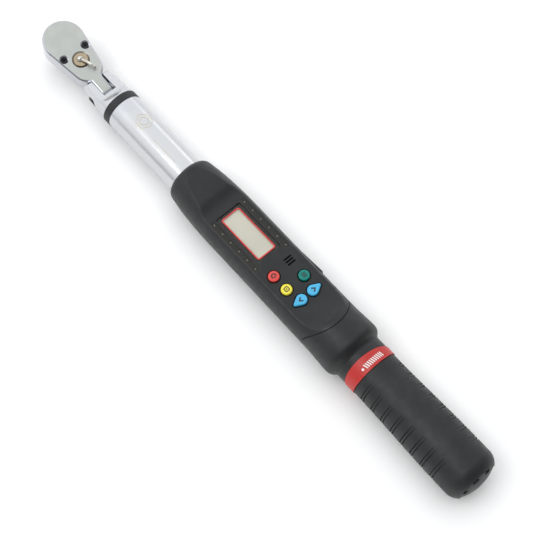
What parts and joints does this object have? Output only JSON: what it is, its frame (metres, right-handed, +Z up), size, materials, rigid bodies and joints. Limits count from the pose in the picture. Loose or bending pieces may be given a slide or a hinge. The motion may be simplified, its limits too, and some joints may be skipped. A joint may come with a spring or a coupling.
{
  "type": "torque wrench",
  "caption": "Electronic torque wrench with a flex-jointed ratchet head, a square drive, a display body with push buttons, a red band and a ribbed grip.",
  "frame": {"origin": "where the square drive's axis leaves the underside of the ratchet head, which is also on the axis of the tube", "axes": "+X along the tube from the drive to the end of the handle, +Z up out of the display, +Y to the left when looking from the drive to the handle with the display up"},
  "size_m": [0.3953, 0.0393, 0.0373],
  "materials": {
    "polished_steel": "satin top, polished edges",
    "cover_steel": "brushed",
    "drive_steel": "satin",
    "lever_chrome": "polished",
    "spring_steel": "satin",
    "yoke_chrome": "satin chrome",
    "bolt_steel": "satin",
    "beam_steel": "machined",
    "gauge_film": "amber film",
    "ring_black": "matte",
    "bushing_plastic": "natural",
    "housing_grey": "soft touch",
    "screw_black": "black oxide",
    "board_green": "solder mask",
    "lcd": "greenish beige",
    "lens": "clear",
    "strip_smoke": "smoked",
    "lights": "clear",
    "dome_steel": "satin",
    "sounder_black": "matte",
    "button_red": "satin",
    "button_green": "satin",
    "button_yellow": "satin",
    "button_blue": "satin",
    "grip_rubber": "soft touch",
    "band_red": "satin",
    "cell_jacket": "gloss",
    "contact_plate": "solder mask",
    "contact_metal": "satin",
    "cap_black": "matte"
  },
  "bodies": {
    "frame": {"yoke": "yoke_chrome", "flex_bolt": "bolt_steel", "flex_plunger": "cover_steel", "flex_spring": "spring_steel", "seal_ring": "ring_black", "outer_tube": "yoke_chrome", "front_pin": "bolt_steel", "strain_beam": "beam_steel", "strain_gauges": "gauge_film", "rear_pin": "bolt_steel", "tube_bushing": "bushing_plastic", "core_tube": "beam_steel", "housing_top": "housing_grey", "housing_bottom": "housing_grey", "housing_screws": "screw_black", "rear_housing": "housing_grey", "circuit_board": "board_green", "lcd_module": "lcd", "display_lens": "lens", "light_strip_left": "strip_smoke", "light_strip_right": "strip_smoke", "light_row_left": "lights", "light_row_right": "lights", "dome_switches": "dome_steel", "sounder": "sounder_black", "data_port": "sounder_black", "handle_tube": "beam_steel", "grip": "grip_rubber", "red_band": "band_red", "cell_front_left": "cell_jacket", "cell_front_right": "cell_jacket", "cell_rear_left": "cell_jacket", "cell_rear_right": "cell_jacket", "contact_board": "contact_plate", "contact_springs": "spring_steel"},
    "head": {"head_body": "polished_steel", "head_cover_plate": "cover_steel", "cover_screws": "cover_steel", "pawl_pin": "drive_steel", "friction_washers": "cover_steel"},
    "drive": {"drive_gear": "drive_steel", "detent_spring": "spring_steel"},
    "ball": {"detent_ball": "drive_steel"},
    "lever": {"reversing_lever": "lever_chrome", "lever_clip": "cover_steel", "selector_plunger": "drive_steel", "selector_spring": "spring_steel"},
    "pawl": {"pawl": "drive_steel"},
    "port_cover": {"port_cover": "housing_grey"},
    "clear_button": {"clear_button": "button_red"},
    "mode_button": {"mode_button": "button_green"},
    "unit_button": {"unit_button": "button_yellow"},
    "up_button": {"up_button": "button_blue"},
    "down_button": {"down_button": "button_blue"},
    "cap": {"battery_cap": "cap_black", "cap_contact": "contact_metal", "cap_seal": "ring_black"}
  },
  "joints": [
    {"name": "head_flex", "type": "hinge", "parent": "frame", "child": "head", "pos_m": [0.04342, 0, 0], "axis": [0, 1, 0], "range_deg": [-25, 5]},
    {"name": "drive_spin", "type": "hinge", "parent": "head", "child": "drive", "pos_m": [0, 0, 0], "axis": [0.1736, 0, 0.9848], "continuous": true},
    {"name": "detent_press", "type": "slide", "parent": "drive", "child": "ball", "axis": [0, -1, 0], "range_m": [0, 0.0007], "stiffness_N_per_m": 4000, "springref_m": -0.0005},
    {"name": "lever_flip", "type": "hinge", "parent": "head", "child": "lever", "pos_m": [0.01714, 0, -0.00302], "axis": [0.1736, 0, 0.9848], "range_deg": [-37.2, 0]},
    {"name": "pawl_rock", "type": "hinge", "parent": "head", "child": "pawl", "pos_m": [0.01241, 0, -0.00219], "axis": [0.1736, 0, 0.9848], "range_deg": [0, 10]},
    {"name": "clear_press", "type": "slide", "parent": "frame", "child": "clear_button", "axis": [0, 0, -1], "range_m": [0, 0.0006], "stiffness_N_per_m": 1200, "springref_m": -0.0003},
    {"name": "mode_press", "type": "slide", "parent": "frame", "child": "mode_button", "axis": [0, 0, -1], "range_m": [0, 0.0006], "stiffness_N_per_m": 1200, "springref_m": -0.0003},
    {"name": "unit_press", "type": "slide", "parent": "frame", "child": "unit_button", "axis": [0, 0, -1], "range_m": [0, 0.0006], "stiffness_N_per_m": 1200, "springref_m": -0.0003},
    {"name": "up_press", "type": "slide", "parent": "frame", "child": "up_button", "axis": [0, 0, -1], "range_m": [0, 0.0006], "stiffness_N_per_m": 1200, "springref_m": -0.0003},
    {"name": "down_press", "type": "slide", "parent": "frame", "child": "down_button", "axis": [0, 0, -1], "range_m": [0, 0.0006], "stiffness_N_per_m": 1200, "springref_m": -0.0003},
    {"name": "port_cover_open", "type": "hinge", "parent": "frame", "child": "port_cover", "pos_m": [0.2113, 0.01895, 0.0048], "axis": [0, 0, 1], "range_deg": [0, 100]},
    {"name": "cap_turn", "type": "hinge", "parent": "frame", "child": "cap", "pos_m": [0.3765, 0, 0.0008], "axis": [1, 0, 0], "range_deg": [0, 60]}
  ],
  "couplings": [
    {"joint": "pawl_rock", "follows": "lever_flip", "ratio": -0.26882}
  ]
}
